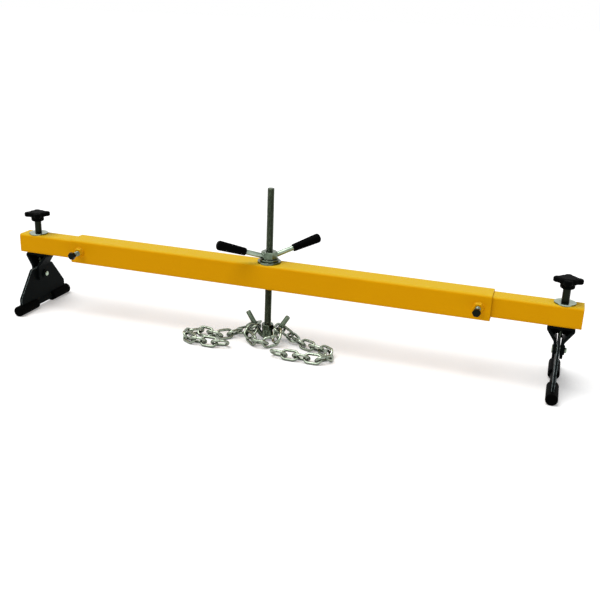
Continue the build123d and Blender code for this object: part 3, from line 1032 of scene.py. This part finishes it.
@dataclass
class Beam(SubAssembly):
    """The outer tube with its two lock nuts and the thrust washer."""

    solids: ClassVar[tuple[str, ...]] = ("beam_tube", "thrust_washer", "left_lock_nut", "right_lock_nut")
    bead: WeldBead = WeldBead(0.003)
    bead_points: int = 180

    def build(self) -> None:
        """Runs a weld bead round the foot of each lock nut: a circle on the tube's front face."""
        front = corners_of("beam_tube")[0][1]
        angle = ring_of_angles(self.bead_points)
        for side in Side:
            low, high = corners_of(f"{side.value}_lock_nut")
            middle = (low + high) / 2
            reach = (high[0] - low[0] + high[2] - low[2]) / 4
            x = middle[0] + reach * np.cos(angle)
            z = middle[2] + reach * np.sin(angle)
            bead = self.bead.surface(np.stack([x, np.full_like(angle, front), z], axis=1), True)
            self.shop.piece(f"{side.value}_lock_nut_weld", [bead], Slot.YELLOW, "beam")


@dataclass
class LiftNut(SubAssembly):
    """The flanged nut on the lift screw, with its two handles and grips."""

    solids: ClassVar[tuple[str, ...]] = (
        "lift_nut", "left_handle_rod", "right_handle_rod", "left_grip", "right_grip",
    )
    azimuth: float = 41.2
    rise: float = 17.3
    cross: float = 0.006
    rod: float = 0.010
    flats: float = 0.028
    bead: WeldBead = WeldBead(0.0034)
    bead_points: int = 120

    def build(self) -> None:
        """Runs a weld bead round each handle rod where it enters the nut's flat.

        The rod leans, so that the bead follows an ellipse on the flat: the rod's radius level, and the radius
        over the cosine of the lean upright.
        """
        angle = ring_of_angles(self.bead_points)[:, None]
        lean = math.radians(self.rise)
        low, high = corners_of("lift_nut")
        height = low[2] + self.cross + self.flats / 2 * math.tan(lean)
        for side, turn in ((Side.RIGHT, 0.0), (Side.LEFT, math.pi)):
            heading = math.radians(self.azimuth) + turn
            out = np.array([math.cos(heading), math.sin(heading), 0.0])
            level = np.array([-math.sin(heading), math.cos(heading), 0.0])
            middle = np.array([*((low + high) / 2)[:2], height]) + self.flats / 2 * out
            aside = self.rod / 2 * np.cos(angle) * level
            path = middle + aside + self.rod / 2 / math.cos(lean) * np.sin(angle) * UP
            bead = self.bead.surface(path, True)
            self.shop.piece(f"{side.value}_handle_weld", [bead], Slot.ZINC, "lift_nut")


@dataclass
class LiftScrew(SubAssembly):
    """The lift screw with its double hook and jam nut."""

    solids: ClassVar[tuple[str, ...]] = ("double_hook", "jam_nut")
    pitch: float = 0.002

    def build(self) -> None:
        """Cuts the screw's thread."""
        foot, diameter, height = upright_of("lift_screw")
        thread = Thread(foot, UP, diameter, self.pitch, height)
        self.shop.piece("lift_screw_thread", [thread.surface()], Slot.SCREW, "lift_screw", ("lift_screw",))


@dataclass
class Chain(SubAssembly):
    """The chain over the hook: links round the prongs, slack links in front, and a tail out to each side.

    Every link is a piece of its own making, so that no solid is left to finish.
    """

    link: ChainLink = ChainLink()
    dullest: float = 0.45
    seed: int = 7

    def build(self) -> None:
        """Makes each run of links where its solids lie.

        A link's length and width are the two directions in which its points spread most, and its middle is
        half way between their ends. Its weld is on its upper side, and no two links are equally dull.
        """
        chance = np.random.default_rng(self.seed)
        runs = [node for node, slot in self.shop.slots.items() if slot is Slot.CHAIN]
        for node in runs:
            surfaces = []
            for points in solids_of(node):
                spread = np.linalg.svd(points - points.mean(axis=0), full_matrices=False)[2]
                local = points @ spread.T
                middle = (local.min(axis=0) + local.max(axis=0)) / 2 @ spread
                wide = spread[1] * (1.0 if spread[1][2] > 0 else -1.0)
                dull = self.dullest * chance.random()
                surfaces.append(self.link.surface(middle, spread[0], wide, dull))
            self.shop.piece(f"{node}_welded", surfaces, Slot.CHAIN, body_of(node), (node,))


@dataclass
class SideGear(SubAssembly):
    """What is on one end of the beam: the arm, its lock bolt, the clamp, the bracket and the foot."""

    solids: ClassVar[tuple[str, ...]] = (
        "arm", "clamp_washer", "knob", "bracket", "bracket_nut", "pivot_pin", "pin_ring", "pivot_spacers",
        "foot_plate", "foot_bar", "front_pad", "rear_pad",
    )
    side: Side
    bolt_diameter: float = 0.010
    bolt_pitch: float = 0.0015
    head_height: float = 0.0064
    stud_diameter: float = 0.008
    stud_pitch: float = 0.00125
    sleeve_bore: float = 0.009
    bead: WeldBead = WeldBead(0.0036)

    def node(self, name: str) -> str:
        """The full name of this side's node."""
        return f"{self.side.value}_{name}"

    def build(self) -> None:
        """Makes the lock bolt, the clamp's stud and sleeve, and the welds of the foot."""
        self._lock_bolt()
        self._clamp()
        self._foot_welds()

    def _lock_bolt(self) -> None:
        """A hexagon head at the front, and a threaded shank behind it."""
        node = self.node("lock_bolt")
        low, high = corners_of(node)
        middle = (low + high) / 2
        tip = np.array([middle[0], high[1], middle[2]])
        seat = np.array([middle[0], low[1] + self.head_height, middle[2]])
        shank = Thread(tip, FORWARD, self.bolt_diameter, self.bolt_pitch, high[1] - seat[1])
        head = HexHead(seat, FORWARD, high[2] - low[2], self.head_height)
        self.shop.piece(f"{node}_head", [head.surface()], Slot.SCREW, body_of(node), (node,))
        self.shop.piece(f"{node}_shank", [shank.surface()], Slot.ZINC, body_of(node))

    def _clamp(self) -> None:
        """The stud's thread, from its foot up into the knob, and the sleeve round its upper end."""
        node = self.node("clamp_stud")
        foot, _, height = upright_of(node)
        stud = Thread(foot, UP, self.stud_diameter, self.stud_pitch, height)
        self.shop.piece(f"{node}_cut", [stud.surface()], Slot.ZINC, body_of(node), (node,))
        node = self.node("clamp_sleeve")
        foot, outer, height = upright_of(node)
        sleeve = Sleeve(foot, UP, outer, self.sleeve_bore, height)
        self.shop.piece(f"{node}_turned", [sleeve.surface()], Slot.SCREW, body_of(node), (node,))

    def _foot_welds(self) -> None:
        """A bead along each face of the foot plate, in the corner over the foot bar, between the pads."""
        node = self.node("foot_plate")
        plate_low, plate_high = corners_of(node)
        bar_low, bar_high = corners_of(self.node("foot_bar"))
        front = corners_of(self.node("front_pad"))[1][1]
        rear = corners_of(self.node("rear_pad"))[0][1]
        bar = (bar_high[2] - bar_low[2]) / 2
        half = (plate_high[0] - plate_low[0]) / 2
        middle_x = (plate_low[0] + plate_high[0]) / 2
        corner = bar_low[2] + bar + math.sqrt(bar**2 - half**2)
        run = np.arange(front, rear, self.bead.step)
        beads = []
        for way in (-1.0, 1.0):
            place = np.full_like(run, middle_x + way * half)
            beads.append(self.bead.surface(np.stack([place, run, np.full_like(run, corner)], axis=1), False))
        self.shop.piece(f"{node}_weld", beads, Slot.BLACK, body_of(node))


@dataclass(frozen=True)
class Studio:
    """The floor, the light and the camera at the photograph's place."""

    camera_place: tuple[float, float, float] = (0.50575, -1.442, 0.628)
    azimuth: float = 17.49
    elevation: float = 19.42
    roll: float = 2.24
    focal_pixels: float = 812.0
    image_pixels: float = 600.0
    sensor: float = 36.0
    floor_half: float = 80.0
    floor_drop: float = 0.0002
    floor_white: float = 0.82
    floor_roughness: float = 0.9
    floor_lift: float = 0.26
    sky: float = 0.36
    lamp: float = 2.7
    lamp_spread: float = 50.0
    lamp_from: tuple[float, float, float] = (-0.30, -0.22, 1.0)

    def camera(self) -> None:
        """Sets the camera: turned to its azimuth and elevation, then rolled about its line of sight."""
        turn = math.radians(self.azimuth)
        lift = math.radians(self.elevation)
        tilt = math.radians(self.roll)
        back = Vector((math.sin(turn) * math.cos(lift), -math.cos(turn) * math.cos(lift), math.sin(lift)))
        right = (-back).cross(Vector(UP)).normalized()
        up = right.cross(-back)
        rolled_right = math.cos(tilt) * right + math.sin(tilt) * up
        rolled_up = math.cos(tilt) * up - math.sin(tilt) * right
        data = bpy.data.cameras.new("photo_camera")
        data.sensor_width = self.sensor
        data.lens = self.focal_pixels / self.image_pixels * self.sensor
        made = bpy.data.objects.new("photo_camera", data)
        turned_about = Matrix((rolled_right, rolled_up, back)).transposed().to_4x4()
        made.matrix_world = Matrix.Translation(self.camera_place) @ turned_about
        bpy.context.scene.collection.objects.link(made)
        bpy.context.scene.camera = made

    @staticmethod
    def _seen(graph: Graph) -> Socket:
        """A mask of what the camera sees, straight or by way of metal or glass."""
        path = graph.node("ShaderNodeLightPath")
        seen = graph.math("MAXIMUM", path.outputs["Is Camera Ray"], path.outputs["Is Glossy Ray"])
        return graph.math("MAXIMUM", seen, path.outputs["Is Transmission Ray"])

    def floor(self) -> None:
        """A plain pale floor that keeps the shadow, a little lighter where the camera sees it."""
        half = self.floor_half
        level = -self.floor_drop
        corners = [(-half, -half, level), (half, -half, level), (half, half, level), (-half, half, level)]
        mesh = bpy.data.meshes.new("floor")
        mesh.from_pydata(corners, [], [tuple(range(len(corners)))])
        paint = bpy.data.materials.new("pale_floor")
        paint.use_nodes = True
        paint.node_tree.nodes.clear()
        graph = Graph(paint.node_tree)
        white = self.floor_white
        shader = graph.node(
            "ShaderNodeBsdfPrincipled",
            {
                "Base Color": (white, white, white),
                "Roughness": self.floor_roughness,
                "Specular IOR Level": 0.0,
                "Emission Color": WHITE,
                "Emission Strength": graph.math("MULTIPLY", self._seen(graph), self.floor_lift),
            },
        )
        out = graph.node("ShaderNodeOutputMaterial")
        graph.feed(out.inputs["Surface"], shader.outputs["BSDF"])
        mesh.materials.append(paint)
        made = bpy.data.objects.new("floor", mesh)
        bpy.context.scene.collection.objects.link(made)

    def light(self) -> None:
        """A pale sky, white where it is seen, and one broad lamp high over the front left."""
        world = bpy.data.worlds.new("studio")
        world.use_nodes = True
        world.node_tree.nodes.clear()
        graph = Graph(world.node_tree)
        strength = graph.span(self._seen(graph), WHOLE, (self.sky, 1.0))
        sky = graph.node("ShaderNodeBackground", {"Color": WHITE, "Strength": strength})
        out = graph.node("ShaderNodeOutputWorld")
        graph.feed(out.inputs["Surface"], sky.outputs["Background"])
        bpy.context.scene.world = world
        data = bpy.data.lights.new("broad_lamp", "SUN")
        data.energy = self.lamp
        data.angle = math.radians(self.lamp_spread)
        made = bpy.data.objects.new("broad_lamp", data)
        made.rotation_mode = "QUATERNION"
        made.rotation_quaternion = Vector(self.lamp_from).to_track_quat("Z", "Y")
        bpy.context.scene.collection.objects.link(made)

    def build(self) -> None:
        """Sets the studio up."""
        bpy.context.scene.view_settings.view_transform = "Standard"
        self.camera()
        self.floor()
        self.light()


def main() -> None:
    """Builds and dresses the sub-assemblies, then sets the studio up round them."""
    logging.basicConfig(level=logging.INFO, format="%(name)s: %(message)s")
    shop = Workshop()
    assemblies = [Beam(shop), LiftNut(shop), LiftScrew(shop), Chain(shop)]
    assemblies += [SideGear(shop, side) for side in Side]
    for assembly in assemblies:
        assembly.build()
        assembly.dress()
    Studio().build()


if __name__ == "__main__":
    main()
